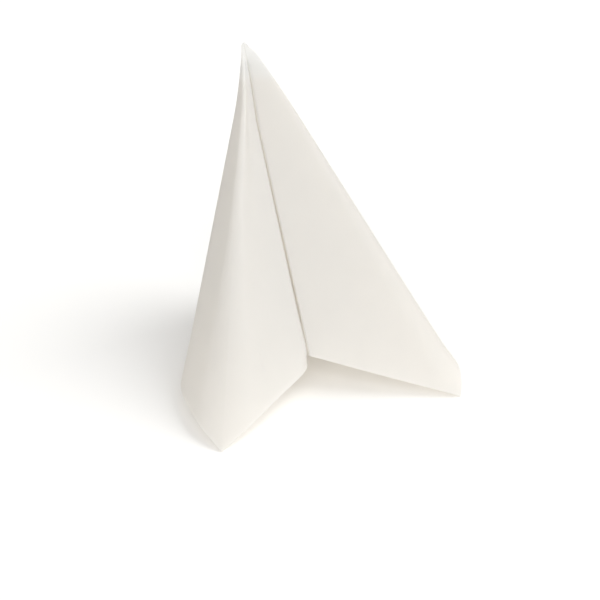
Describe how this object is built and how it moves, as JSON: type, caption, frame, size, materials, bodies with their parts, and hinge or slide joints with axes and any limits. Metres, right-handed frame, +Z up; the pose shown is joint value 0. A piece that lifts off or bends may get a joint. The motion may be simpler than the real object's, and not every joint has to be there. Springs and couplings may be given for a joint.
{
  "type": "folded paper napkin",
  "caption": "Plain white paper napkin folded into a standing peak, with rounded side folds that meet in front.",
  "frame": {"origin": "middle of the footprint, on the table that the napkin stands on", "axes": "+Z up to the peak, -Y to the front where the two side folds meet, +X to the right as seen from the front"},
  "size_m": [0.1856, 0.182, 0.1956],
  "materials": {
    "paper": "matte"
  },
  "bodies": {
    "root": {"folded_napkin": "paper"}
  },
  "joints": []
}
